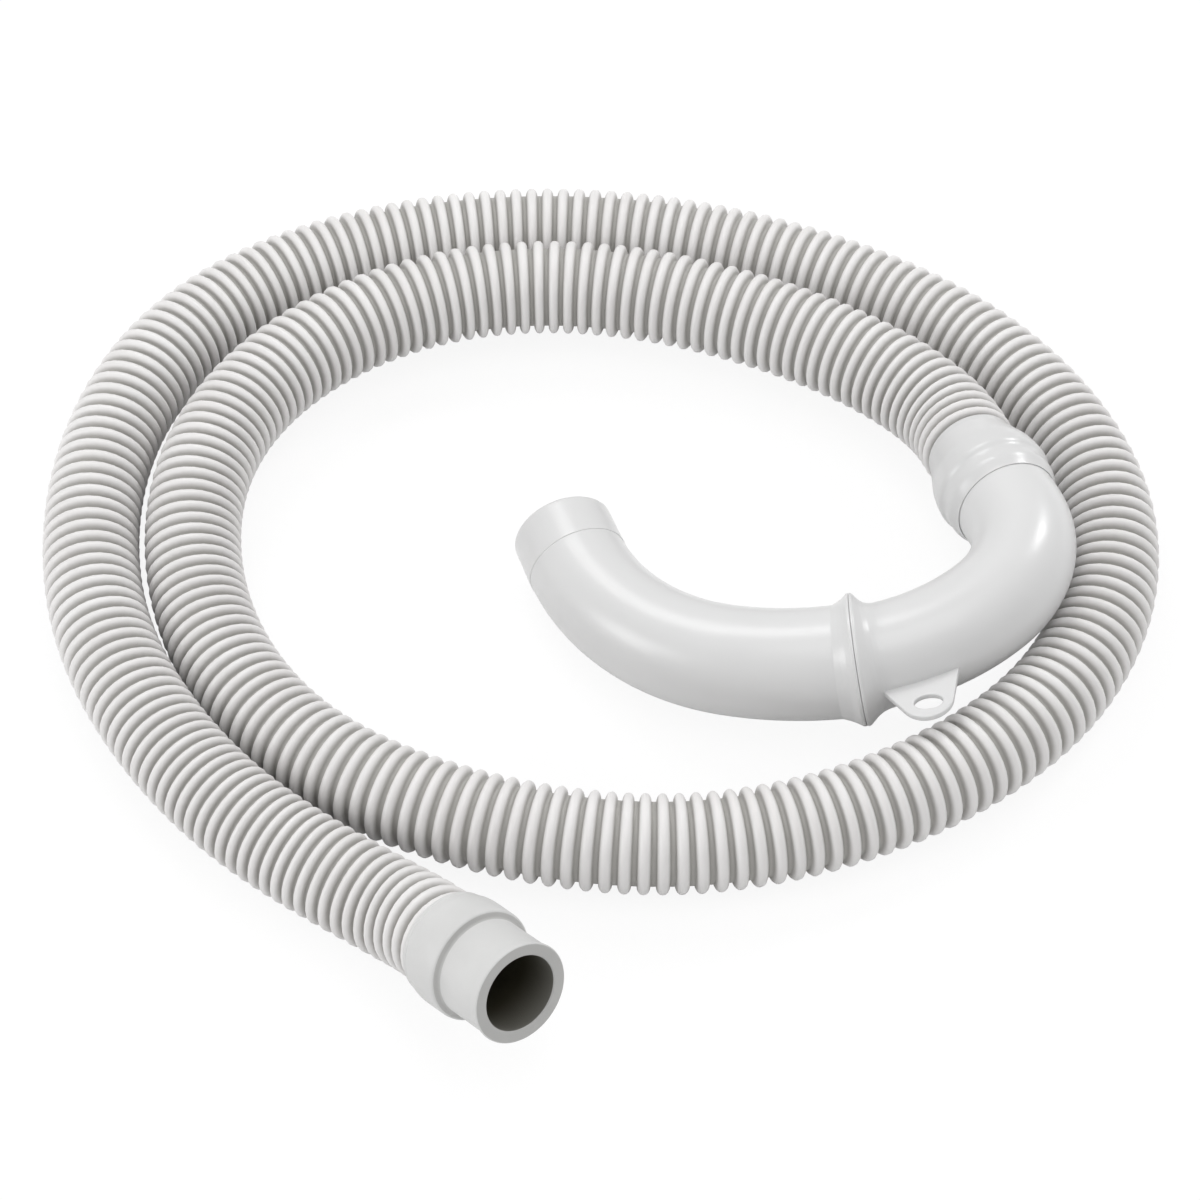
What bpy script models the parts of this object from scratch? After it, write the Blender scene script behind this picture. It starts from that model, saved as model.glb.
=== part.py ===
"""Drain hose of a washing machine, about 1.5 m long: a corrugated hose laid in two turns, a push-on cuff at
one end and, at the other, a collar and a U bend of two moulded elbows that hooks over a sink or standpipe.

The hose rests on the floor at z = 0. The origin is the middle of the footprint. Sizes are in millimetres.
"""

import math

import bmesh
import bpy
import numpy as np
from mathutils import Matrix, Vector

MM = 0.001
GAP = 0.3

# Hose: the diameter over its ribs, and the route of its centre line as (x, y, lift above lying on the floor).
# It starts inside the cuff, makes an outer turn, then an inner turn that climbs a little on its way to the collar.
HOSE_OD = 32.0
HOSE_POINTS = 80
ROUTE = [
    (-39.5, -153.4, 12.7), (-45.6, -146.1, 9.5), (-51.6, -138.8, 6.4), (-61.8, -128.8, 2.2),
    (-84.8, -112.0, 0.1), (-113.2, -90.2, 1.2), (-142.0, -55.8, 2.4), (-161.0, -15.7, 2.0),
    (-168.0, 27.5, 0.8), (-164.0, 70.0, 0.0), (-146.0, 111.0, 0.0), (-117.0, 139.0, 0.0),
    (-79.0, 157.0, 0.0), (-35.0, 165.5, 0.0), (9.0, 164.5, 0.0), (51.0, 155.0, 0.0),
    (91.0, 138.0, 0.0), (126.0, 113.5, 0.0), (153.0, 79.5, 0.0), (167.5, 38.0, 0.0),
    (164.0, -5.0, 0.0), (145.0, -42.0, 0.0), (112.0, -71.5, 0.0), (73.0, -91.0, 0.0),
    (28.0, -100.5, 0.0), (-19.0, -97.0, 0.5), (-58.3, -84.3, 0.3), (-93.8, -62.4, 0.1),
    (-119.6, -29.6, 0.6), (-132.8, 10.0, 2.4), (-131.5, 51.0, 5.2), (-114.0, 88.5, 5.8),
    (-81.0, 117.5, 6.2), (-42.0, 132.0, 6.5), (1.0, 133.0, 6.5), (44.0, 122.0, 6.5),
    (82.1, 103.5, 6.5), (106.4, 84.9, 6.5), (118.5, 68.2, 8.0), (123.2, 55.2, 10.3),
]
CUFF_LIP = 2        # the route's point at the cuff's back lip

# Cuff on the hose's free end: its profile as (part of its length from the back lip, part of its body's radius).
CUFF_LENGTH = 46.0
CUFF_BODY_R = 18.4
CUFF_PROFILE = [
    (0.0, 0.916), (0.045, 0.916), (0.052, 0.928), (0.14, 0.984), (0.19, 1.0), (0.535, 1.0), (0.57, 0.984),
    (0.60, 0.946), (0.635, 0.893), (0.675, 0.875), (0.86, 0.875), (0.95, 0.892), (0.98, 0.892), (0.995, 0.875),
    (1.0, 0.85),
]
CUFF_BORE_R = 12.5
CUFF_SOCKET = 20.0      # depth to which the hose goes in

# U bend of two elbows that meet at a flange. A path is its straight lengths and its bends as (radius, degrees).
ELBOW_R = 17.05
ELBOW_WALL = 2.0
BEND_AXIS = (0.3330, -0.9285, 0.1640)
BEND_ROLL = 7.1
INLET_PATH = [(0.0, 36.7), (37.3, 67.7), (68.2, 40.4)]
OUTLET_PATH = [(122.5, 19.9), (76.0, 53.6), (0.0, 13.0)]
OUTLET_TWIST = -9.5
OUTLET_TAPER = (1.073, 0.974)       # parts of the elbow's radius at the flange and at the open end
SPIGOT_LENGTH = 15.9                # from the ring step to the open end
FLANGE_R = 21.5
FLANGE_RISE = 8.0                   # length over which each elbow widens to the flange
PILOT_LENGTH = 5.0
PILOT_WALL = 1.6

# Collar between hose and U bend: its profile as (part of its length from the hose, part of the elbow's radius).
COLLAR_LENGTH = 30.6
COLLAR_PROFILE = [
    (0.0, 0.885), (0.06, 0.895), (0.20, 0.962), (0.33, 1.035), (0.47, 1.108), (0.57, 1.145), (0.64, 1.153),
    (0.70, 1.140), (0.83, 1.096), (0.93, 1.060), (0.98, 1.030), (1.0, 1.006),
]
COLLAR_BORE_R = 12.8
COLLAR_SOCKET = 12.0                # depth to which the inlet elbow's stub goes in
STUB_STEP = 1.8                     # how much narrower the stub is than the elbow

# Hanging lug on the outer side of the inlet elbow, measured back from the flange and out from the elbow's axis.
LUG_THICKNESS = 2.0
LUG_ROOT = (5.0, 26.5)
LUG_TIP = (20.4, 22.4)
LUG_TIP_R = 8.6
LUG_SLOT = (9.2, 6.0)
LUG_SLOT_AT = (20.8, 24.2)

SIDES = 28
STEP = 6.5


def principled(name, colour, roughness, metallic=0.0):
    material = bpy.data.materials.new(name)
    material.use_nodes = True
    shader = material.node_tree.nodes["Principled BSDF"]
    shader.inputs["Base Color"].default_value = (*colour, 1.0)
    shader.inputs["Roughness"].default_value = roughness
    shader.inputs["Metallic"].default_value = metallic
    material.diffuse_color = (*colour, 1.0)
    return material


def add_object(name, data, material=None, parent=None):
    obj = bpy.data.objects.new(name, data)
    bpy.context.scene.collection.objects.link(obj)
    if material:
        data.materials.append(material)
    obj.parent = parent
    return obj


def add_frame(name, matrix, parent=None):
    empty = bpy.data.objects.new(name, None)
    bpy.context.scene.collection.objects.link(empty)
    empty.parent = parent
    empty.matrix_local = matrix
    return empty


def frame_along(origin, direction, roll=0.0):
    """Frame at origin with X along direction and Z as upright as it can be, then rolled about X by degrees."""
    x = Vector(direction).normalized()
    y = Vector((0.0, 0.0, 1.0)).cross(x).normalized()
    z = x.cross(y)
    turned = Matrix((x, y, z)).transposed().to_4x4()
    return Matrix.Translation(Vector(origin)) @ turned @ Matrix.Rotation(math.radians(roll), 4, "X")


def smooth_route(points):
    """Natural cubic spline through points, with its parameter measured along the chords between them.

    Between knots i and i+1, h apart, p = (m0 a^3 + m1 b^3) / 6h + (p0/h - m0 h/6) a + (p1/h - m1 h/6) b,
    where a and b are the distances to the two knots and m is the second derivative, zero at both ends.
    Returns the function of the parameter and the knots.
    """
    p = np.array(points, dtype=float)
    chord = np.linalg.norm(np.diff(p, axis=0), axis=1)
    knots = np.concatenate([[0.0], np.cumsum(chord)])
    system = np.eye(len(p))
    right = np.zeros_like(p)
    for i in range(1, len(p) - 1):
        system[i, i - 1:i + 2] = (chord[i - 1], 2 * (chord[i - 1] + chord[i]), chord[i])
        right[i] = 6 * ((p[i + 1] - p[i]) / chord[i] - (p[i] - p[i - 1]) / chord[i - 1])
    second = np.linalg.solve(system, right)

    def at(u):
        i = np.clip(np.searchsorted(knots, u, side="right") - 1, 0, len(p) - 2)
        h = chord[i][:, None]
        a = (knots[i + 1] - u)[:, None]
        b = (u - knots[i])[:, None]
        return ((second[i] * a**3 + second[i + 1] * b**3) / (6 * h)
                + (p[i] / h - second[i] * h / 6) * a + (p[i + 1] / h - second[i + 1] * h / 6) * b)

    return at, knots


def hose_centre_line():
    """Evenly spaced points on the smooth route, with one straight length inside each end fitting."""
    at, knots = smooth_route([(x, y, HOSE_OD / 2 + lift) for x, y, lift in ROUTE])
    fine = np.linspace(knots[CUFF_LIP], knots[-2], 4000)
    line = at(fine)
    run = np.concatenate([[0.0], np.cumsum(np.linalg.norm(np.diff(line, axis=0), axis=1))])
    even = np.interp(np.linspace(0.0, run[-1], HOSE_POINTS - 2), run, fine)
    middle = at(even)
    middle[:, 2] = np.maximum(middle[:, 2], HOSE_OD / 2)
    return np.vstack([at(knots[:1]), middle, at(knots[-1:])])


def bend_path(segments, stations):
    """Positions and headings (radians) along straights and right-hand bends in the XY plane, from X = 0.

    A bend of radius R starts at p with heading h: its centre is p - R n(h), with n the left normal, and a
    point d further on lies at centre + R n(h - d/R). Before the first and past the last the path runs straight.
    """
    s = np.array(stations, dtype=float)
    start = np.zeros(2)
    heading = 0.0
    reached = 0.0
    place = np.column_stack([s, np.zeros_like(s)])
    turn = np.zeros_like(s)

    def normal(angle):
        return np.stack([-np.sin(angle), np.cos(angle)], axis=-1)

    for radius, amount in segments + [(0.0, 0.0)]:
        beyond = s > reached
        d = s - reached
        if radius == 0.0:
            ahead = np.array([math.cos(heading), math.sin(heading)])
            place = np.where(beyond[:, None], start + d[:, None] * ahead, place)
            turn = np.where(beyond, heading, turn)
            start = start + amount * ahead
            reached += amount
        else:
            centre = start - radius * normal(heading)
            angle = heading - d / radius
            place = np.where(beyond[:, None], centre + radius * normal(angle), place)
            turn = np.where(beyond, angle, turn)
            heading -= math.radians(amount)
            start = centre + radius * normal(heading)
            reached += radius * math.radians(amount)
    return place, turn


def path_length(segments):
    return sum(amount if radius == 0.0 else radius * math.radians(amount) for radius, amount in segments)


def divided(loop):
    """The closed profile with its long edges split, so that no edge along the axis is longer than STEP."""
    result = []
    for (s0, r0), (s1, r1) in zip(loop, loop[1:] + loop[:1]):
        count = max(1, math.ceil(abs(s1 - s0) / STEP))
        result += [(s0 + (s1 - s0) * i / count, r0 + (r1 - r0) * i / count) for i in range(count)]
    return result


def sweep_shell(name, segments, loop, material, parent=None, sides=SIDES):
    """One closed shell: the profile loop of (station, radius), outer side forward and inner side back, carried
    round the path. Ring i, side j lies at p(s) + r (cos a n + sin a z) with a = 2 pi j / sides."""
    if path_length(segments) > 0.0:
        loop = divided(loop)
    place, turn = bend_path(segments, [s for s, _ in loop])
    mesh = bpy.data.meshes.new(name)
    bm = bmesh.new()
    rings = []
    for (x, y), heading, (_, radius) in zip(place, turn, loop):
        side = Vector((-math.sin(heading), math.cos(heading), 0.0))
        ring = []
        for j in range(sides):
            angle = 2 * math.pi * j / sides
            out = radius * (math.cos(angle) * side + math.sin(angle) * Vector((0.0, 0.0, 1.0)))
            ring.append(bm.verts.new((Vector((x, y, 0.0)) + out) * MM))
        rings.append(ring)
    for i, ring in enumerate(rings):
        following = rings[(i + 1) % len(rings)]
        for j in range(sides):
            k = (j + 1) % sides
            bm.faces.new((ring[j], ring[k], following[k], following[j]))
    bmesh.ops.recalc_face_normals(bm, faces=bm.faces)
    bm.to_mesh(mesh)
    bm.free()
    mesh.shade_smooth()
    mesh.set_sharp_from_angle(angle=math.radians(35))
    return add_object(name, mesh, material, parent)


def prism(name, outline, thickness, parent):
    """Flat plate with the outline given in the XY plane, half its thickness above and half below."""
    mesh = bpy.data.meshes.new(name)
    bm = bmesh.new()
    base = bm.faces.new([bm.verts.new((x * MM, y * MM, -thickness / 2 * MM)) for x, y in outline])
    raised = bmesh.ops.extrude_face_region(bm, geom=[base])["geom"]
    bmesh.ops.translate(bm, verts=[v for v in raised if isinstance(v, bmesh.types.BMVert)],
                        vec=(0.0, 0.0, thickness * MM))
    bmesh.ops.recalc_face_normals(bm, faces=bm.faces)
    bm.to_mesh(mesh)
    bm.free()
    obj = add_object(name, mesh, None, parent)
    obj.hide_render = True
    obj.display_type = "WIRE"
    return obj


def boolean(target, operation, operand):
    modifier = target.modifiers.new(operand.name, "BOOLEAN")
    modifier.operation = operation
    modifier.solver = "EXACT"
    modifier.object = operand


def build_hose(material):
    curve = bpy.data.curves.new("corrugated_hose", "CURVE")
    curve.dimensions = "3D"
    points = hose_centre_line() * MM
    spline = curve.splines.new("POLY")
    spline.points.add(len(points) - 1)
    spline.points.foreach_set("co", np.column_stack([points, np.ones(len(points))]).ravel())
    curve.bevel_depth = HOSE_OD / 2 * MM
    curve.bevel_resolution = 4
    curve.use_fill_caps = True
    return add_object("corrugated_hose", curve, material)


def build_cuff(material):
    """Soft push-on cuff: thin back lip, a taper up to the wide body, a shoulder and the neck with its mouth."""
    lip = Vector(ROUTE[CUFF_LIP]) + Vector((0.0, 0.0, HOSE_OD / 2))
    inner = Vector(ROUTE[0]) + Vector((0.0, 0.0, HOSE_OD / 2))
    socket = HOSE_OD / 2 + GAP
    seat = CUFF_SOCKET + GAP
    loop = [(CUFF_LENGTH * along, CUFF_BODY_R * out) for along, out in CUFF_PROFILE]
    loop += [
        (CUFF_LENGTH, CUFF_BORE_R + GAP), (CUFF_LENGTH - GAP, CUFF_BORE_R),
        (seat, CUFF_BORE_R), (seat, socket), (0.0, socket),
    ]
    cuff = sweep_shell("end_cuff", [], loop, material)
    cuff.matrix_world = frame_along(lip * MM, inner - lip)
    return cuff


def build_collar(material, bend):
    """Collar between hose and elbow: it swells to a rounded shoulder and closes to a thin ring."""
    hole = ELBOW_R - STUB_STEP + GAP
    seat = COLLAR_LENGTH - COLLAR_SOCKET
    loop = [(max(GAP, COLLAR_LENGTH * along), ELBOW_R * out) for along, out in COLLAR_PROFILE]
    loop += [(COLLAR_LENGTH, hole), (seat, hole), (seat, COLLAR_BORE_R), (GAP, COLLAR_BORE_R)]
    return sweep_shell("hose_collar", [(0.0, COLLAR_LENGTH)], loop, material, bend)


def lug_outline(end):
    """Root along the elbow's mid wall, then straight sides that meet the round tip as tangents."""
    mid_wall = ELBOW_R - ELBOW_WALL / 2
    place, turn = bend_path(INLET_PATH, [end])
    flange = Vector(place[0])
    ahead = Vector((math.cos(turn[0]), math.sin(turn[0])))
    left = Vector((-ahead.y, ahead.x))
    near, far = LUG_ROOT
    stations = np.linspace(end - near, end - far, 6)
    root_place, root_turn = bend_path(INLET_PATH, stations)
    root = [(x - math.sin(h) * mid_wall, y + math.cos(h) * mid_wall) for (x, y), h in zip(root_place, root_turn)]
    tip = flange - LUG_TIP[0] * ahead + LUG_TIP[1] * left

    def touch(point, side):
        """Angle on the tip circle where the straight side from point touches it."""
        to_point = Vector(point) - tip
        return math.atan2(to_point.y, to_point.x) + side * math.acos(LUG_TIP_R / to_point.length)

    first = touch(root[-1], -1)
    last = touch(root[0], 1)
    while last > first:
        last -= 2 * math.pi
    arc = [first + (last - first) * i / 12 for i in range(13)]
    return root + [(tip.x + LUG_TIP_R * math.cos(a), tip.y + LUG_TIP_R * math.sin(a)) for a in arc]


def slot_outline(end):
    place, turn = bend_path(INLET_PATH, [end])
    ahead = Vector((math.cos(turn[0]), math.sin(turn[0])))
    left = Vector((-ahead.y, ahead.x))
    centre = Vector(place[0]) - LUG_SLOT_AT[0] * ahead + LUG_SLOT_AT[1] * left
    along, across = LUG_SLOT
    angles = [2 * math.pi * i / 20 for i in range(20)]
    points = [centre + along / 2 * math.cos(a) * ahead + across / 2 * math.sin(a) * left for a in angles]
    return [tuple(point) for point in points]


def build_inlet_elbow(material, bend):
    """From the stub inside the collar round to the flange, with its pilot ring and the hanging lug."""
    end = path_length(INLET_PATH)
    bore = ELBOW_R - ELBOW_WALL
    stub = ELBOW_R - STUB_STEP
    shoulder = COLLAR_LENGTH + GAP
    start = shoulder - COLLAR_SOCKET
    face = end - GAP / 2
    rise = FLANGE_R - ELBOW_R
    pilot = bore - 1.5 * GAP
    loop = [(start, stub), (shoulder, stub), (shoulder, ELBOW_R)]
    loop += [(end - FLANGE_RISE * back, ELBOW_R + rise * up) for back, up in (
        (1.0, 0.0), (0.82, 0.05), (0.62, 0.17), (0.42, 0.42), (0.26, 0.72), (0.16, 0.92), (0.1, 1.0))]
    loop += [
        (face, FLANGE_R), (face, pilot), (end + PILOT_LENGTH, pilot), (end + PILOT_LENGTH, pilot - PILOT_WALL),
        (end - PILOT_LENGTH / 2, pilot - PILOT_WALL), (end - PILOT_LENGTH, bore), (shoulder + PILOT_LENGTH, bore),
        (shoulder, stub - ELBOW_WALL), (start, stub - ELBOW_WALL),
    ]
    elbow = sweep_shell("inlet_elbow", INLET_PATH, loop, material, bend)
    boolean(elbow, "UNION", prism("lug_plate", lug_outline(end), LUG_THICKNESS, bend))
    boolean(elbow, "DIFFERENCE", prism("lug_slot", slot_outline(end), 3 * LUG_THICKNESS, bend))
    return elbow


def build_outlet_elbow(material, bend):
    """From the flange, whose cone narrows to the elbow, round to the plain spigot past its fine ring step.

    The elbow narrows evenly from the flange to its open end.
    """
    place, turn = bend_path(INLET_PATH, [path_length(INLET_PATH)])
    matrix = Matrix.Translation(Vector((place[0][0], place[0][1], 0.0)) * MM)
    matrix = matrix @ Matrix.Rotation(turn[0], 4, "Z") @ Matrix.Rotation(math.radians(OUTLET_TWIST), 4, "X")
    frame = add_frame("outlet_frame", matrix, bend)
    end = path_length(OUTLET_PATH)
    wide, narrow = (part * ELBOW_R for part in OUTLET_TAPER)
    rise = FLANGE_R - wide
    bore = ELBOW_R - ELBOW_WALL
    ring = end - SPIGOT_LENGTH
    face = GAP / 2

    def radius(station):
        return wide + (narrow - wide) * station / end

    loop = [(face, FLANGE_R - GAP)]
    loop += [(FLANGE_RISE * ahead, wide + rise * up) for ahead, up in (
        (0.05, 0.97), (0.13, 0.97), (0.18, 0.86), (0.35, 0.55), (0.55, 0.28), (0.75, 0.07), (0.82, 0.0))]
    loop += [
        (ring - GAP, radius(ring) - GAP / 2), (ring, radius(ring) + GAP / 2), (end - 3 * GAP, narrow + GAP / 2),
        (end - GAP, narrow - GAP / 2), (end, narrow - 2 * GAP), (end, narrow - ELBOW_WALL + GAP),
        (end - GAP, narrow - ELBOW_WALL), (PILOT_LENGTH + GAP, bore), (face, bore),
    ]
    return sweep_shell("outlet_elbow", OUTLET_PATH, loop, material, frame)


for existing in list(bpy.data.objects):
    bpy.data.objects.remove(existing, do_unlink=True)

ribbed = principled("hose_plastic", (0.72, 0.70, 0.67), 0.45)
soft = principled("cuff_plastic", (0.56, 0.56, 0.56), 0.6)
swivel = principled("collar_plastic", (0.70, 0.70, 0.70), 0.3)
moulded = principled("inlet_plastic", (0.71, 0.71, 0.71), 0.28)
hooked = principled("outlet_plastic", (0.72, 0.72, 0.72), 0.28)

hose_end = Vector(ROUTE[-1]) + Vector((0.0, 0.0, HOSE_OD / 2))
u_bend = add_frame("u_bend", frame_along(hose_end * MM, BEND_AXIS, BEND_ROLL))
build_hose(ribbed)
build_cuff(soft)
build_collar(swivel, u_bend)
build_inlet_elbow(moulded, u_bend)
build_outlet_elbow(hooked, u_bend)
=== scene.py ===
"""Drain hose of a washing machine: the ribbed hose, its soft cuff, and the collar and elbows of the U bend.

Each piece is a profile of (station along the axis, radius) in millimetres, carried along that piece's path.
"""

import math

import bpy
import numpy as np
from mathutils import Matrix


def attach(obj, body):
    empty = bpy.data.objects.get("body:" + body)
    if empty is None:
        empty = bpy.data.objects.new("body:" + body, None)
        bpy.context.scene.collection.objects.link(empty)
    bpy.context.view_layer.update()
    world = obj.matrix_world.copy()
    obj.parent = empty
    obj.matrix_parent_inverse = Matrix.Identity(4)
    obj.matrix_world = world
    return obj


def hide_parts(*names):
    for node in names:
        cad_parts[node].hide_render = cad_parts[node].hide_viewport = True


MM = 0.001
UP = np.array([0.0, 0.0, 1.0])
PLAY = 0.1                          # between pieces that are pushed into each other
SEAM = 0.05                         # half of the fine gap where two faces meet

# Ribbed hose, from its free end in the cuff to the collar.
HOSE_OD = 32.0
HOSE_CREST_R = HOSE_OD / 2 - 0.02
HOSE_ROOT_R = 13.3
HOSE_BORE_R = 12.5
HOSE_SIDES = 28
RIB_WIDTH = 0.72                    # part of the distance between ribs that a rib fills
RIB_FLATNESS = 2.3
RIB_ROUNDNESS = 0.55
RIB_ACROSS = (-1.0, -0.93, -0.74, -0.4, 0.0, 0.4, 0.74, 0.93, 1.0)
RIB_PITCH = [                       # as (station, distance between ribs), because the coil stretches them
    (0.0, 5.3), (45.0, 5.2), (72.0, 4.3), (115.0, 4.2), (175.0, 4.8), (235.0, 5.2), (355.0, 5.0),
    (480.0, 5.35), (600.0, 5.05), (780.0, 5.1), (840.0, 5.5), (930.0, 5.7), (1010.0, 5.45), (1075.0, 4.8),
    (1135.0, 4.5), (1195.0, 4.6), (1260.0, 5.2), (1375.0, 5.4), (1440.0, 4.9), (1510.0, 4.7),
]
ROUTE = [                           # points under the middle line, as (x, y, lift above the floor)
    (-39.5, -153.4, 12.7), (-45.6, -146.1, 9.5), (-51.6, -138.8, 6.4), (-61.8, -128.8, 2.2),
    (-84.8, -112.0, 0.1), (-113.2, -90.2, 1.2), (-142.0, -55.8, 2.4), (-161.0, -15.7, 2.0),
    (-168.0, 27.5, 0.8), (-164.0, 70.0, 0.0), (-146.0, 111.0, 0.0), (-117.0, 139.0, 0.0),
    (-79.0, 157.0, 0.0), (-35.0, 165.5, 0.0), (9.0, 164.5, 0.0), (51.0, 155.0, 0.0),
    (91.0, 138.0, 0.0), (126.0, 113.5, 0.0), (153.0, 79.5, 0.0), (167.5, 38.0, 0.0),
    (164.0, -5.0, 0.0), (145.0, -42.0, 0.0), (112.0, -71.5, 0.0), (73.0, -91.0, 0.0),
    (28.0, -100.5, 0.0), (-19.0, -97.0, 0.5), (-58.3, -84.3, 0.3), (-93.8, -62.4, 0.1),
    (-119.6, -29.6, 0.6), (-132.8, 10.0, 2.4), (-131.5, 51.0, 5.2), (-114.0, 88.5, 5.8),
    (-81.0, 117.5, 6.2), (-42.0, 132.0, 6.5), (1.0, 133.0, 6.5), (44.0, 122.0, 6.5),
    (82.1, 103.5, 6.5), (106.4, 84.9, 6.5), (118.5, 68.2, 8.0), (123.2, 55.2, 10.3),
]
ROUTE_STEPS = 6000
MIDDLE_STEPS = 400

# Soft cuff, from station 0 over the hose to its mouth.
CUFF_START = 2                      # which point of the route stands under station 0
CUFF_LENGTH = 46.0
CUFF_BACK = 9.0                     # where the back lip is
CUFF_SHOULDER = 24.9                # where the wide body ends
# the crease after the shoulder, where painted shade darkens the rubber
CUFF_CREASE = (CUFF_SHOULDER + 1.0, CUFF_SHOULDER + 2.0)
CUFF_BODY_R = 18.4
CUFF_NECK_R = 16.0
CUFF_RIM_R = 16.6
CUFF_BORE_R = 12.5
CUFF_SOCKET = 20.0                  # how far the hose goes in

# U bend of two elbows that meet at a flange. A path is its straights (0, length) and bends (radius, angle).
ELBOW_R = 17.05
ELBOW_WALL = 2.0
BEND_AXIS = (0.3330, -0.9285, 0.1640)
BEND_ROLL = 7.1
INLET_PATH = [(0.0, 36.7), (37.3, 67.7), (68.2, 40.4)]
OUTLET_PATH = [(122.5, 19.9), (76.0, 53.6), (0.0, 13.0)]
OUTLET_TWIST = -9.5
OUTLET_TAPER = (1.073, 0.974)       # parts of the elbow's radius at the flange and at the open end
SPIGOT_LENGTH = 15.9                # from the ring step to the open end
RING_GROOVE = 0.12
RING_STEP = 0.16
FLANGE_R = 21.5
FLANGE_RISE = 8.0                   # length over which each elbow widens to the flange
PILOT_LENGTH = 5.0
PILOT_WALL = 1.6
PILOT_PLAY = 0.3

# How each elbow widens to its flange, as (part of FLANGE_RISE away from it, part of the widening).
INLET_WIDENING = [
    (1.0, 0.0), (0.82, 0.05), (0.62, 0.17), (0.42, 0.42), (0.26, 0.72), (0.16, 0.92), (0.1, 1.0),
]
OUTLET_WIDENING = [
    (0.05, 0.99), (0.13, 0.97), (0.18, 0.86), (0.35, 0.55), (0.55, 0.28), (0.75, 0.07), (0.82, 0.0),
]

# Collar between hose and U bend.
COLLAR_LENGTH = 30.6
COLLAR_BORE_R = 12.8
COLLAR_SOCKET = 12.0                # how far the inlet elbow's stub goes in
COLLAR_SWELL = [(PLAY, 15.0), (0.9, 15.15), (2.5, 15.4), (8.0, 17.2), (13.0, 18.9)]
COLLAR_RIDGE = [(16.6, 19.5), (19.7, 19.75), (20.8, 19.5), (21.9, 18.95)]
COLLAR_HOLLOW = [(23.3, 18.7), (24.8, 18.75), (26.3, 18.9), (27.6, 18.65), (29.2, 18.0), (30.3, 17.6)]
COLLAR_LIP = 0.5                    # how far its edge goes over the elbow
COLLAR_LIP_R = 17.4
STUB_STEP = 1.8                     # how much narrower the stub is than the elbow

# Hanging lug on the inlet elbow. Root, tip and slot are placed back from the flange and out from the axis.
LUG_THICKNESS = 2.0
LUG_EDGE = 0.45
LUG_ROOT = (5.0, 26.5)
LUG_TIP = (20.4, 22.4)
LUG_TIP_R = 8.6
LUG_SLOT = (9.2, 6.0)
LUG_SLOT_AT = (20.8, 24.2)
LUG_STEPS = (12, 40, 48)            # points along the root, round the tip and round the slot

# Fineness of the moulded shells: sides round the axis, longest step along it, steps in a rounded corner.
SHELL_SIDES = 96
SHELL_STEP = 1.5
CORNER_STEPS = 4

# Tones of the finishes. A pair is the two ends of a faint unevenness.
CREST_TONES = ((0.735, 0.72, 0.715), (0.775, 0.765, 0.76))
DULL_RIB_TONE = (0.69, 0.68, 0.67)
# painted shade for the hose's grooves and its bore
GROOVE_SHADE_TONE = (0.42, 0.41, 0.39)
RUBBER_TONES = ((0.58, 0.58, 0.575), (0.62, 0.62, 0.615))
# painted shade inside the cuff's bore, on its mouth face and in its crease
BORE_SHADE_TONE = (0.055, 0.05, 0.03)
COLLAR_TONES = ((0.62, 0.62, 0.62), (0.645, 0.645, 0.645))
ELBOW_TONES = ((0.645, 0.645, 0.645), (0.67, 0.67, 0.67))
HOSE_ROUGHNESS = 0.45
RUBBER_ROUGHNESS = 0.62
MOULDED_ROUGHNESS = 0.28

# How far the painted shade takes the rubber's tone towards the dark bore tone: at the bore's mouth, in full
# from a depth on, and on the cut face and in the crease at the shoulder.
MOUTH_SHADE = 0.8
FULL_SHADE_DEPTH = 15.0
CUT_SHADE = 0.27

# Camera on the -Y side: lens in millimetres, elevation in degrees, distance and target in metres.
LENS = 138.2
SENSOR_WIDTH = 36.0
CAMERA_ELEVATION = 49.97
CAMERA_DISTANCE = 1.5252
CAMERA_TARGET = (0.0, 0.0124, 0.0)

# Studio. A lamp is its name, place and size in metres and its power, and all of them face the origin.
LAMPS = [
    ("back_left", (-0.40, 0.78, 1.34), (0.65, 0.5), 5.0),
    ("back_right", (0.94, 0.91, 0.92), (0.3, 0.3), 5.2),
    ("overhead", (0.1, -0.3, 1.6), (1.3, 1.0), 6.5),
    ("left", (-1.37, -0.50, 0.65), (0.6, 0.6), 6.0),
]
SKY_STRENGTH = 0.60
FLOOR_REACH = 3.0
FLOOR_TONE = 0.9
FLOOR_GLOW = 1.02
FLOOR_PLAIN = 0.88                  # part of the glow in what the camera sees, the rest keeps the shadow


def unit(vector):
    vector = np.asarray(vector, dtype=float)
    return vector / np.linalg.norm(vector, axis=-1, keepdims=True)


def axes_along(direction, roll=0.0):
    """Columns X along direction, Y level and to its left, Z the upright one, turned about X by roll degrees:
    Y' = Y cos + Z sin and Z' = Z cos - Y sin."""
    x = unit(direction)
    y = unit(np.cross(UP, x))
    z = np.cross(x, y)
    c = math.cos(math.radians(roll))
    s = math.sin(math.radians(roll))
    return np.column_stack([x, c * y + s * z, c * z - s * y])


def above_floor(route_point):
    """The point of the middle line that stands over a point of the route."""
    return np.array(route_point) + UP * HOSE_OD / 2


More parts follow.
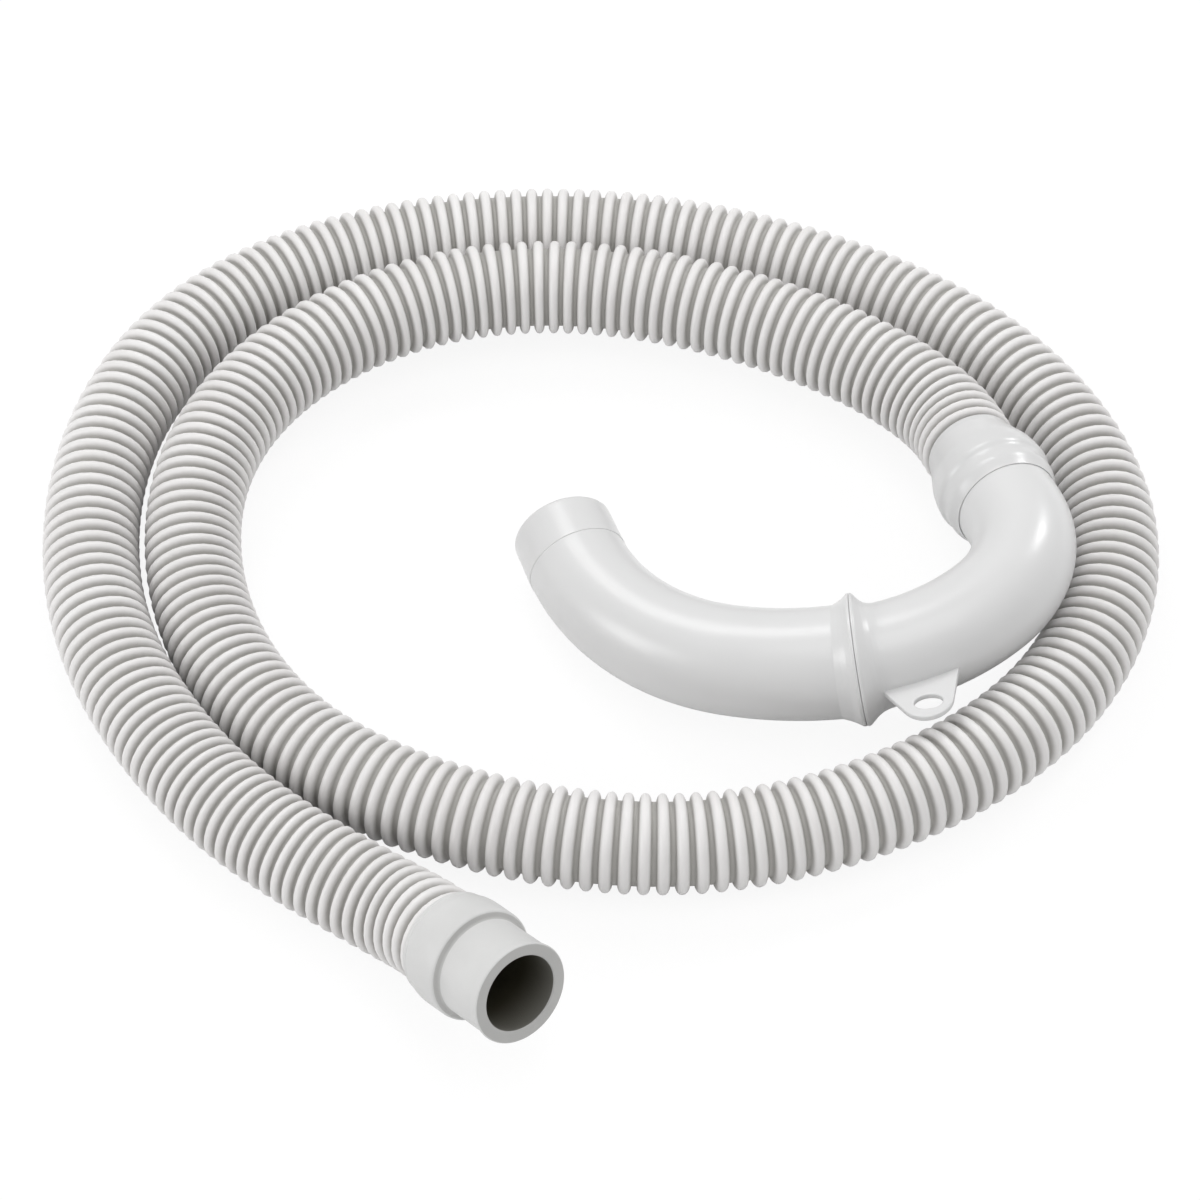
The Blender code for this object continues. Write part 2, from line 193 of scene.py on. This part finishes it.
def smooth_route(points):
    """Natural cubic spline through points, with its parameter measured along the chords between them.

    Between knots i and i+1, h apart, p = (m0 a^3 + m1 b^3) / 6h + (p0/h - m0 h/6) a + (p1/h - m1 h/6) b,
    where a and b are the distances to the two knots and m is the second derivative, zero at both ends.
    """
    p = np.array(points, dtype=float)
    chord = np.linalg.norm(np.diff(p, axis=0), axis=1)
    knots = np.concatenate([[0.0], np.cumsum(chord)])
    system = np.eye(len(p))
    right = np.zeros_like(p)
    for i in range(1, len(p) - 1):
        system[i, i - 1:i + 2] = (chord[i - 1], 2 * (chord[i - 1] + chord[i]), chord[i])
        right[i] = 6 * ((p[i + 1] - p[i]) / chord[i] - (p[i] - p[i - 1]) / chord[i - 1])
    second = np.linalg.solve(system, right)

    def at(u):
        i = np.clip(np.searchsorted(knots, u, side="right") - 1, 0, len(p) - 2)
        h = chord[i][:, None]
        a = (knots[i + 1] - u)[:, None]
        b = (u - knots[i])[:, None]
        return ((second[i] * a**3 + second[i + 1] * b**3) / (6 * h)
                + (p[i] / h - second[i] * h / 6) * a + (p[i + 1] / h - second[i + 1] * h / 6) * b)

    return at, knots


def hose_route():
    """The middle line as (stations, points): the spline at even steps, never lower than the hose's radius,
    with stations the sum of the steps' lengths."""
    at, knots = smooth_route([above_floor(point) for point in ROUTE])
    points = at(np.linspace(0.0, knots[-1], ROUTE_STEPS))
    points[:, 2] = np.maximum(points[:, 2], HOSE_OD / 2)
    run = np.concatenate([[0.0], np.cumsum(np.linalg.norm(np.diff(points, axis=0), axis=1))])
    return run, points


def at_stations(stations, run, values):
    """Rows of values that are known at the stations run, read at other stations, straight in between."""
    return np.column_stack([np.interp(stations, run, values[:, k]) for k in range(3)])


def bend_path(segments, stations):
    """Positions and headings along straights and right-hand bends in a plane, as arrays.

    A bend of radius R that starts at p with heading h has its centre at p - R n(h), n being the left normal,
    and a point d further on lies at centre + R n(h - d/R). Past both ends the path runs straight.
    """
    s = np.array(stations, dtype=float)
    start = np.zeros(2)
    heading = 0.0
    reached = 0.0
    place = np.column_stack([s, np.zeros_like(s)])
    turn = np.zeros_like(s)

    def normal(angle):
        return np.stack([-np.sin(angle), np.cos(angle)], axis=-1)

    for radius, amount in segments + [(0.0, 0.0)]:
        beyond = s > reached
        d = s - reached
        if radius == 0.0:
            ahead = np.array([math.cos(heading), math.sin(heading)])
            place = np.where(beyond[:, None], start + d[:, None] * ahead, place)
            turn = np.where(beyond, heading, turn)
            start = start + amount * ahead
            reached += amount
        else:
            centre = start - radius * normal(heading)
            angle = heading - d / radius
            place = np.where(beyond[:, None], centre + radius * normal(angle), place)
            turn = np.where(beyond, angle, turn)
            heading -= math.radians(amount)
            start = centre + radius * normal(heading)
            reached += radius * math.radians(amount)
    return place, turn


def path_length(segments):
    """Sum of the straight lengths and of radius x angle of the bends."""
    return sum(amount if radius == 0.0 else radius * math.radians(amount) for radius, amount in segments)


def rounded(loop, size):
    """The closed profile with each corner p replaced by a parabola from a point a on the edge before it to a
    point b on the edge after: a (1-t)^2 + 2 p t (1-t) + b t^2. Both lie size from p, or 0.45 of the shorter
    edge."""
    p = np.array(loop, dtype=float)
    before = np.roll(p, 1, axis=0) - p
    after = np.roll(p, -1, axis=0) - p
    near = np.linalg.norm(before, axis=1, keepdims=True)
    far = np.linalg.norm(after, axis=1, keepdims=True)
    reach = np.minimum(size, 0.45 * np.minimum(near, far))
    a = (p + before / near * reach)[:, None]
    b = (p + after / far * reach)[:, None]
    t = np.linspace(0.0, 1.0, CORNER_STEPS + 1)[None, :, None]
    return (a * (1 - t)**2 + 2 * p[:, None] * t * (1 - t) + b * t**2).reshape(-1, 2)


def divided(loop):
    """The closed profile with its long edges split evenly, so that none runs further than SHELL_STEP."""
    p = np.array(loop, dtype=float)
    q = np.roll(p, -1, axis=0)
    counts = np.maximum(1, np.ceil(np.abs(q[:, 0] - p[:, 0]) / SHELL_STEP)).astype(int)
    edge = np.repeat(np.arange(len(p)), counts)
    part = (np.arange(len(edge)) - np.repeat(np.cumsum(counts) - counts, counts)) / counts[edge]
    return p[edge] + (q - p)[edge] * part[:, None]


def closed_tube(name, centres, left, upward, radii, sides, marks=None):
    """Mesh of one shell closed both ways: the point on ring i, side j is c_i + r_i (cos a n_i + sin a z_i),
    a = 2 pi j / sides, joined in quads to the next ring and the next side. marks are values per ring."""
    angle = np.arange(sides) * 2 * math.pi / sides
    out = np.cos(angle)[None, :, None] * left[:, None] + np.sin(angle)[None, :, None] * upward[:, None]
    points = (centres[:, None] + radii[:, None, None] * out).reshape(-1, 3) * MM
    rings = len(centres)
    i, j = np.meshgrid(np.arange(rings), np.arange(sides), indexing="ij")
    this = i * sides
    following = (i + 1) % rings * sides
    beside = (j + 1) % sides
    quads = np.stack([this + j, this + beside, following + beside, following + j], -1)
    mesh = bpy.data.meshes.new(name)
    mesh.from_pydata(points.tolist(), [], quads.reshape(-1, 4).tolist())
    for key, values in (marks or {}).items():
        layer = mesh.attributes.new(key, "FLOAT", "POINT")
        layer.data.foreach_set("value", np.repeat(values, sides).astype(np.float32))
    mesh.shade_smooth()
    return mesh


def shell_on_path(name, origin, axes, segments, loop, marking=None):
    """A profile carried along a plane path that stands in the frame (origin, axes). marking gives, from the
    profile's stations and radii, the values that its rings keep."""
    loop = divided(loop)
    place, turn = bend_path(segments, loop[:, 0])
    centres = origin + place @ axes[:, :2].T
    left = np.column_stack([-np.sin(turn), np.cos(turn)]) @ axes[:, :2].T
    upward = np.tile(axes[:, 2], (len(loop), 1))
    marks = marking(loop[:, 0], loop[:, 1]) if marking else None
    return closed_tube(name, centres, left, upward, loop[:, 1], SHELL_SIDES, marks)


def add_piece(name, mesh, material, node):
    obj = bpy.data.objects.new(name, mesh)
    bpy.context.scene.collection.objects.link(obj)
    mesh.materials.append(material)
    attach(obj, "root")
    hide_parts(node)
    return obj


def rib_profile(run):
    """Stations and radii of the hose's closed profile, and how deep in a groove each point lies, 0 to 1.

    Over one rib the radius is root + rise (1 - |x|^flatness)^roundness, with x from -1 to 1 across it, so
    that a rib stands steep and round, and the flat groove between two takes the rest. The count of ribs up
    to a station is the sum of each step divided by the pitch there, scaled so that the hose ends with a
    whole one. The bore is smooth.
    """
    count = np.concatenate([[0.0], np.cumsum(np.diff(run) / np.interp(run[1:], *zip(*RIB_PITCH)))])
    ribs = round(count[-1])
    count *= ribs / count[-1]
    rib = np.repeat(np.arange(ribs), len(RIB_ACROSS))
    x = np.tile(RIB_ACROSS, ribs)
    outer = np.concatenate([[0.0], np.interp(rib + 0.5 + x * RIB_WIDTH / 2, count, run), [run[-1]]])
    height = np.concatenate([[0.0], (1 - np.abs(x)**RIB_FLATNESS)**RIB_ROUNDNESS, [0.0]])
    inner = np.linspace(run[-1], 0.0, ribs // 2)
    stations = np.concatenate([outer, inner])
    outside = HOSE_ROOT_R + (HOSE_CREST_R - HOSE_ROOT_R) * height
    radii = np.concatenate([outside, np.full(len(inner), HOSE_BORE_R)])
    groove = np.concatenate([1 - height, np.ones(len(inner))])
    return stations, radii, groove


def hose_mesh():
    """Ribbed hose: the rib profile carried along the middle line. Also that line and its length."""
    run, points = hose_route()
    stations, radii, groove = rib_profile(run)
    tangent = unit(np.gradient(points, axis=0))
    centres = at_stations(stations, run, points)
    ahead = unit(at_stations(stations, run, tangent))
    left = unit(np.cross(UP, ahead))
    upward = np.cross(ahead, left)
    marks = {"groove": groove, "along": stations * MM}
    mesh = closed_tube("ribbed_hose", centres, left, upward, radii, HOSE_SIDES, marks)
    middle = at_stations(np.linspace(0.0, run[-1], MIDDLE_STEPS), run, points)
    return mesh, middle * MM, run[-1] * MM


def cuff_mesh():
    """Soft cuff: a thin lip with its fine line, the taper to the wide body, the shoulder, neck and mouth."""
    start = above_floor(ROUTE[CUFF_START])
    hose_tip = above_floor(ROUTE[0])
    body, neck, rim = CUFF_BODY_R, CUFF_NECK_R, CUFF_RIM_R
    back, shoulder, end = CUFF_BACK, CUFF_SHOULDER, CUFF_LENGTH
    socket = HOSE_OD / 2 + PLAY
    loop = rounded([
        (back, body - 1.4), (back + 0.3, body - 1.15), (back + 1.3, body - 1.1), (back + 1.6, body - 1.3),
        (back + 1.9, body - 0.95), (back + 5.0, body - 0.2), (back + 7.0, body), (shoulder, body),
        (shoulder + 0.8, body - 0.25), (shoulder + 1.2, body - 1.1), (shoulder + 1.5, neck + 0.4),
        (shoulder + 2.1, neck - 0.05), (shoulder + 4.1, neck), (end - 3.5, neck + 0.1),
        (end - 1.2, rim - 0.1), (end - 0.5, rim), (end, rim - 0.3), (end, CUFF_BORE_R),
        (CUFF_SOCKET, CUFF_BORE_R), (CUFF_SOCKET, socket), (back, socket),
    ], 0.5)

    def inside(stations, radii):
        """Painted shade: grows from the bore's mouth to 1 deep in it, is slight on the mouth's cut face and
        in the crease at the shoulder, and is 0 elsewhere."""
        bore = (radii < CUFF_BORE_R + 0.3) & (stations < end - 0.3)
        cut = (stations > end - 0.15) & (radii < rim - 0.4)
        cut |= (stations > CUFF_CREASE[0]) & (stations < CUFF_CREASE[1]) & (radii > CUFF_BORE_R + 0.3)
        depth = np.clip((end - stations) / FULL_SHADE_DEPTH, 0, 1)
        return {"inside": np.where(bore, MOUTH_SHADE + (1 - MOUTH_SHADE) * depth, CUT_SHADE * cut)}

    return shell_on_path("soft_cuff", start, axes_along(hose_tip - start), [], loop, marking=inside)


def collar_mesh(origin, axes):
    """Collar: from the hose it swells to a round ridge, with a hollow, a low ridge and a lip after it."""
    hole = ELBOW_R - STUB_STEP + PLAY
    seat = COLLAR_LENGTH - COLLAR_SOCKET
    edge = COLLAR_LENGTH + COLLAR_LIP
    loop = rounded(COLLAR_SWELL + COLLAR_RIDGE + COLLAR_HOLLOW + [
        (edge, COLLAR_LIP_R), (edge, ELBOW_R + SEAM), (COLLAR_LENGTH, ELBOW_R + SEAM), (COLLAR_LENGTH, hole),
        (seat, hole), (seat, COLLAR_BORE_R), (PLAY, COLLAR_BORE_R),
    ], 1.0)
    return shell_on_path("swelling_collar", origin, axes, [(0.0, COLLAR_LENGTH)], loop)


def inlet_mesh(origin, axes):
    """Inlet elbow: the stub inside the collar, the bend, a concave rise to the flange and the pilot ring."""
    end = path_length(INLET_PATH)
    bore = ELBOW_R - ELBOW_WALL
    stub = ELBOW_R - STUB_STEP
    shoulder = COLLAR_LENGTH + PLAY
    start = shoulder - COLLAR_SOCKET
    face = end - SEAM
    rise = FLANGE_R - ELBOW_R
    pilot = bore - PILOT_PLAY
    widening = [(end - FLANGE_RISE * back, ELBOW_R + rise * up) for back, up in INLET_WIDENING]
    loop = rounded([(start, stub), (shoulder, stub), (shoulder, ELBOW_R)] + widening + [
        (face, FLANGE_R), (face, pilot), (end + PILOT_LENGTH, pilot),
        (end + PILOT_LENGTH, pilot - PILOT_WALL), (end - PILOT_LENGTH / 2, pilot - PILOT_WALL),
        (end - PILOT_LENGTH, bore), (shoulder + PILOT_LENGTH, bore), (shoulder, stub - ELBOW_WALL),
        (start, stub - ELBOW_WALL),
    ], 0.4)
    return shell_on_path("inlet_elbow_skin", origin, axes, INLET_PATH, loop)


def outlet_mesh(origin, axes):
    """Outlet elbow: a nearly straight cone from the flange, the bend, which narrows evenly, and the ring
    step near the open end."""
    end = path_length(OUTLET_PATH)
    wide, narrow = (part * ELBOW_R for part in OUTLET_TAPER)
    rise = FLANGE_R - wide
    ring = end - SPIGOT_LENGTH
    bore = ELBOW_R - ELBOW_WALL

    def radius(station):
        return wide + (narrow - wide) * station / end

    cone = [(FLANGE_RISE * ahead, wide + rise * up) for ahead, up in OUTLET_WIDENING]
    loop = rounded([(SEAM, FLANGE_R - 0.1)] + cone + [
        (ring - 0.5, radius(ring)), (ring - 0.1, radius(ring) - RING_GROOVE),
        (ring, radius(ring) + RING_STEP), (end - 0.9, narrow + 0.15), (end, narrow - 0.5),
        (end, narrow - ELBOW_WALL), (PILOT_LENGTH + PILOT_PLAY, bore), (SEAM, bore),
    ], 0.3)
    return shell_on_path("outlet_elbow_skin", origin, axes, OUTLET_PATH, loop)


def outlet_frame(origin, axes):
    """Start and axes of the outlet elbow: the end of the inlet elbow's path, with the axes turned in the
    bend's plane to the heading h there, X' = X cos h + Y sin h, and then twisted about X'."""
    place, turn = bend_path(INLET_PATH, [path_length(INLET_PATH)])
    c = math.cos(turn[0])
    s = math.sin(turn[0])
    in_plane = np.array([[c, -s, 0.0], [s, c, 0.0], [0.0, 0.0, 1.0]])
    return origin + place[0] @ axes[:, :2].T, axes @ in_plane @ axes_along((1.0, 0.0, 0.0), OUTLET_TWIST)


def lug_points():
    """Outline of the hanging lug in the bend's plane: the root runs inside the elbow's wall, and straight
    sides meet the round tip as tangents. Second, the oval slot round its own centre."""
    end = path_length(INLET_PATH)
    place, turn = bend_path(INLET_PATH, [end])
    ahead = np.array([math.cos(turn[0]), math.sin(turn[0])])
    left = np.array([-ahead[1], ahead[0]])
    root_steps, tip_steps, slot_steps = LUG_STEPS
    stations = np.linspace(end - LUG_ROOT[0], end - LUG_ROOT[1], root_steps)
    root, heading = bend_path(INLET_PATH, stations)
    root = root + (ELBOW_R - ELBOW_WALL / 2) * np.column_stack([-np.sin(heading), np.cos(heading)])
    tip = place[0] - LUG_TIP[0] * ahead + LUG_TIP[1] * left

    def touch(point, side):
        away = point - tip
        return math.atan2(away[1], away[0]) + side * math.acos(LUG_TIP_R / np.linalg.norm(away))

    first = touch(root[-1], -1)
    last = touch(root[0], 1)
    while last > first:
        last -= 2 * math.pi
    arc = np.linspace(first, last, tip_steps)
    outline = np.vstack([root, tip + LUG_TIP_R * np.column_stack([np.cos(arc), np.sin(arc)])])
    oval = np.linspace(0.0, 2 * math.pi, slot_steps, endpoint=False)
    centre = place[0] - LUG_SLOT_AT[0] * ahead + LUG_SLOT_AT[1] * left
    slot = (centre + LUG_SLOT[0] / 2 * np.cos(oval)[:, None] * ahead
            + LUG_SLOT[1] / 2 * np.sin(oval)[:, None] * left)
    return outline, slot


def lug_mesh(origin, axes):
    """Plate between the outline and the slot, filled flat as a curve and given its thickness and rounded
    edges, then placed in the bend's plane."""
    curve = bpy.data.curves.new("lug_outline", "CURVE")
    curve.dimensions = "2D"
    curve.fill_mode = "BOTH"
    curve.extrude = (LUG_THICKNESS / 2 - LUG_EDGE) * MM
    curve.bevel_depth = LUG_EDGE * MM
    curve.bevel_resolution = 3
    curve.offset = -LUG_EDGE * MM
    for points in lug_points():
        spline = curve.splines.new("POLY")
        spline.points.add(len(points) - 1)
        flat = np.column_stack([points * MM, np.zeros(len(points)), np.ones(len(points))])
        spline.points.foreach_set("co", flat.ravel())
        spline.use_cyclic_u = True
    shape = bpy.data.objects.new("lug_outline", curve)
    bpy.context.scene.collection.objects.link(shape)
    bpy.context.view_layer.update()
    mesh = bpy.data.meshes.new_from_object(shape.evaluated_get(bpy.context.evaluated_depsgraph_get()))
    bpy.data.objects.remove(shape)
    flat = np.empty(len(mesh.vertices) * 3, dtype=np.float32)
    mesh.vertices.foreach_get("co", flat)
    placed = origin * MM + flat.reshape(-1, 3).astype(float) @ axes.T
    mesh.vertices.foreach_set("co", placed.astype(np.float32).ravel())
    mesh.name = "hanging_lug"
    mesh.shade_smooth()
    mesh.set_sharp_from_angle(angle=math.radians(40))
    return mesh


class Finish:
    """A Principled material whose nodes are added one by one."""

    def __init__(self, name, roughness):
        self.material = bpy.data.materials.new(name)
        self.material.use_nodes = True
        self.tree = self.material.node_tree
        self.shader = self.tree.nodes["Principled BSDF"]
        self.shader.inputs["Roughness"].default_value = roughness

    def link(self, value, socket):
        self.tree.links.new(value, socket)

    def node(self, kind, settings=None, **values):
        """A new node with its settings, and with each named socket linked to another or set to a number."""
        made = self.tree.nodes.new(kind)
        for key, value in (settings or {}).items():
            setattr(made, key, value)
        for key, value in values.items():
            socket = made.inputs[key]
            if isinstance(value, bpy.types.NodeSocket):
                self.link(value, socket)
            else:
                socket.default_value = value
        return made

    def ring_value(self, name):
        """A value that the mesh keeps on its rings."""
        return self.node("ShaderNodeAttribute", {"attribute_name": name}).outputs["Fac"]

    def noise(self, scale, detail):
        place = self.node("ShaderNodeTexCoord").outputs["Object"]
        return self.node("ShaderNodeTexNoise", Vector=place, Scale=scale, Detail=detail).outputs["Fac"]

    def blend(self, amount, low, high):
        """Colour that goes from low to high as amount goes from 0 to 1."""
        mix = self.node("ShaderNodeMix", {"data_type": "RGBA"})
        self.link(amount, mix.inputs["Factor"])
        for socket, colour in ((mix.inputs[6], low), (mix.inputs[7], high)):
            if isinstance(colour, bpy.types.NodeSocket):
                self.link(colour, socket)
            else:
                socket.default_value = (*colour, 1.0)
        return mix.outputs[2]

    def remap(self, value, low, high, top=1.0):
        """0 at low, top at high, even between them and flat beyond."""
        made = self.node("ShaderNodeMapRange", Value=value)
        for key, number in (("From Min", low), ("From Max", high), ("To Min", 0.0), ("To Max", top)):
            made.inputs[key].default_value = number
        return made.outputs["Result"]

    def colour(self, value):
        self.link(value, self.shader.inputs["Base Color"])

    def bump(self, height, distance):
        made = self.node("ShaderNodeBump", Height=height, Distance=distance)
        self.link(made.outputs["Normal"], self.shader.inputs["Normal"])


def hose_finish():
    """Warm light grey polypropylene, uneven rib by rib, in its own pale tone on the crests, with painted
    shade making the grooves and the smooth bore darker and brownish.
    """
    finish = Finish("ribbed_polypropylene", HOSE_ROUGHNESS)
    groove = finish.ring_value("groove")
    along = finish.ring_value("along")
    crest = finish.blend(finish.remap(finish.noise(35.0, detail=2.0), 0.35, 0.65), *CREST_TONES)
    by_rib = finish.node("ShaderNodeTexNoise", {"noise_dimensions": "1D"}, W=along, Scale=230.0, Detail=1.0)
    rib = finish.blend(finish.remap(by_rib.outputs["Fac"], 0.3, 0.7, top=0.35), crest, DULL_RIB_TONE)
    # painted shade: the deeper a point lies in a groove, and in the bore, the nearer its colour comes to the
    # dark groove tone
    finish.colour(finish.blend(finish.remap(groove, 0.15, 0.9), rib, GROOVE_SHADE_TONE))
    finish.bump(finish.noise(1500.0, detail=2.0), distance=0.00004)
    return finish.material


def cuff_finish():
    """Matte mid grey rubber with a fine grain and slightly rubbed patches, with painted shade darkening the
    bore, the mouth's cut face and the crease at the shoulder.
    """
    finish = Finish("soft_rubber", RUBBER_ROUGHNESS)
    rubber = finish.blend(finish.remap(finish.noise(60.0, detail=4.0), 0.3, 0.7), *RUBBER_TONES)
    # painted shade: the ring value inside takes the rubber towards the dark bore tone
    finish.colour(finish.blend(finish.ring_value("inside"), rubber, BORE_SHADE_TONE))
    finish.bump(finish.noise(2200.0, detail=3.0), distance=0.00005)
    return finish.material


def moulded_finish(name, tones):
    """Smooth moulded plastic: nearly even light grey, with the faint long waves of a moulded skin."""
    finish = Finish(name, MOULDED_ROUGHNESS)
    finish.colour(finish.blend(finish.remap(finish.noise(25.0, detail=3.0), 0.3, 0.7), *tones))
    finish.bump(finish.noise(90.0, detail=2.0), distance=0.00006)
    return finish.material


def add_hose_and_cuff():
    mesh, middle, length = hose_mesh()
    ribbed = add_piece("ribbed_hose", mesh, hose_finish(), "corrugated_hose")
    cuff = add_piece("soft_cuff", cuff_mesh(), cuff_finish(), "end_cuff")


def add_u_bend():
    start = above_floor(ROUTE[-1])
    axes = axes_along(BEND_AXIS, BEND_ROLL)
    flange, outlet_axes = outlet_frame(start, axes)
    collar_grey = moulded_finish("collar_moulding", COLLAR_TONES)
    inlet_grey = moulded_finish("inlet_moulding", ELBOW_TONES)
    outlet_grey = moulded_finish("outlet_moulding", ELBOW_TONES)
    add_piece("swelling_collar", collar_mesh(start, axes), collar_grey, "hose_collar")
    add_piece("inlet_elbow_skin", inlet_mesh(start, axes), inlet_grey, "inlet_elbow")
    add_piece("hanging_lug", lug_mesh(start, axes), inlet_grey, "inlet_elbow")
    add_piece("outlet_elbow_skin", outlet_mesh(flange, outlet_axes), outlet_grey,
              "outlet_elbow")


def add_camera():
    camera = bpy.data.objects.new("camera", bpy.data.cameras.new("camera"))
    bpy.context.scene.collection.objects.link(camera)
    camera.data.lens = LENS
    camera.data.sensor_width = SENSOR_WIDTH
    angle = math.radians(CAMERA_ELEVATION)
    x, y, z = CAMERA_TARGET
    camera.location = (x, y - CAMERA_DISTANCE * math.cos(angle), z + CAMERA_DISTANCE * math.sin(angle))
    camera.rotation_euler = (math.pi / 2 - angle, 0.0, 0.0)
    bpy.context.scene.camera = camera


def add_floor():
    """White floor. To the camera it is mostly plain white with the soft shadow kept, to the light matte."""
    mesh = bpy.data.meshes.new("floor")
    corners = [(x * FLOOR_REACH, y * FLOOR_REACH, 0) for x, y in ((-1, -1), (1, -1), (1, 1), (-1, 1))]
    mesh.from_pydata(corners, [], [(0, 1, 2, 3)])
    floor = bpy.data.objects.new("floor", mesh)
    bpy.context.scene.collection.objects.link(floor)
    finish = Finish("white_floor", roughness=0.9)
    finish.shader.inputs["Base Color"].default_value = (FLOOR_TONE, FLOOR_TONE, FLOOR_TONE, 1.0)
    glow = finish.node("ShaderNodeEmission", Strength=FLOOR_GLOW)
    path = finish.node("ShaderNodeLightPath")
    seen = finish.node("ShaderNodeMath", {"operation": "MULTIPLY"})
    finish.link(path.outputs["Is Camera Ray"], seen.inputs[0])
    seen.inputs[1].default_value = FLOOR_PLAIN
    mix = finish.node("ShaderNodeMixShader")
    finish.link(seen.outputs[0], mix.inputs[0])
    finish.link(finish.shader.outputs[0], mix.inputs[1])
    finish.link(glow.outputs[0], mix.inputs[2])
    finish.link(mix.outputs[0], finish.tree.nodes["Material Output"].inputs["Surface"])
    mesh.materials.append(finish.material)


def add_lamp(name, place, size, power):
    """Area lamp that faces the origin. It shines along its own -Z, so its columns are -Y, Z and -X of the
    frame along its beam."""
    lamp = bpy.data.lights.new(name, "AREA")
    lamp.shape = "RECTANGLE"
    lamp.size, lamp.size_y = size
    lamp.energy = power
    obj = bpy.data.objects.new(name, lamp)
    bpy.context.scene.collection.objects.link(obj)
    beam = axes_along(-np.array(place))
    turned = np.column_stack([-beam[:, 1], beam[:, 2], -beam[:, 0]])
    obj.location = place
    obj.rotation_euler = Matrix(turned.tolist()).to_euler()


def light_scene():
    world = bpy.data.worlds.new("studio")
    world.use_nodes = True
    sky = world.node_tree.nodes["Background"]
    sky.inputs["Color"].default_value = (1.0, 1.0, 1.0, 1.0)
    sky.inputs["Strength"].default_value = SKY_STRENGTH
    bpy.context.scene.world = world
    for name, place, size, power in LAMPS:
        add_lamp(name, place, size, power)
    bpy.context.scene.view_settings.view_transform = "Standard"


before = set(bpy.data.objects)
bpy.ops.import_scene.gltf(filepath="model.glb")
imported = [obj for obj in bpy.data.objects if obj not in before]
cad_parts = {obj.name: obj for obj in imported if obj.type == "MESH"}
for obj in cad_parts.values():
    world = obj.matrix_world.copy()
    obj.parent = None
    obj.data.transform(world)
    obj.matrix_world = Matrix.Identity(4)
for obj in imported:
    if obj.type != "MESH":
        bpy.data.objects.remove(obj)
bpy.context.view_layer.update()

add_camera()
add_hose_and_cuff()
add_u_bend()
add_floor()
light_scene()
